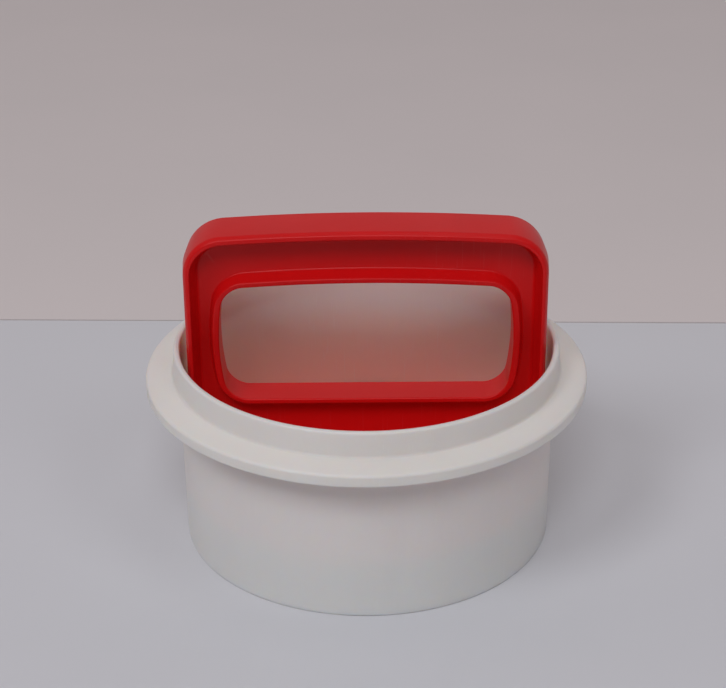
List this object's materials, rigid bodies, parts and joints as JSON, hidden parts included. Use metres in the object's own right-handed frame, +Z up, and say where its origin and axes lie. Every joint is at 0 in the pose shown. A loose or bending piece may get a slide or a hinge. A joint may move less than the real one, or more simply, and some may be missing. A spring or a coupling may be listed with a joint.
{
  "type": "patty press",
  "caption": "Hand press for burger patties: a flanged ring, a plunger with an upright grip frame on a round plate, and a shallow tray.",
  "frame": {"origin": "on the ring's axis, on the surface that the press stands on", "axes": "+Z up along the ring's axis; the grip frame's wide side faces -Y and +Y"},
  "size_m": [0.1372, 0.1372, 0.1029],
  "materials": {
    "ring_plastic": "white moulded plastic, soft satin gloss",
    "handle_plastic": "red moulded plastic, soft satin gloss",
    "plate_plastic": "red moulded plastic, soft satin gloss",
    "tray_plastic": "off-white moulded plastic, satin"
  },
  "bodies": {
    "tray_base": {"patty_tray": "tray_plastic"},
    "ring": {"press_ring": "ring_plastic"},
    "plunger": {"press_plate": "plate_plastic", "grip_handle": "handle_plastic"}
  },
  "joints": [
    {"name": "ring_lift", "type": "slide", "parent": "tray_base", "child": "ring", "axis": [0, 0, 1], "range_m": [0, 0.106]},
    {"name": "plunger_lift", "type": "slide", "parent": "tray_base", "child": "plunger", "axis": [0, 0, 1], "range_m": [0, 0.06]}
  ]
}
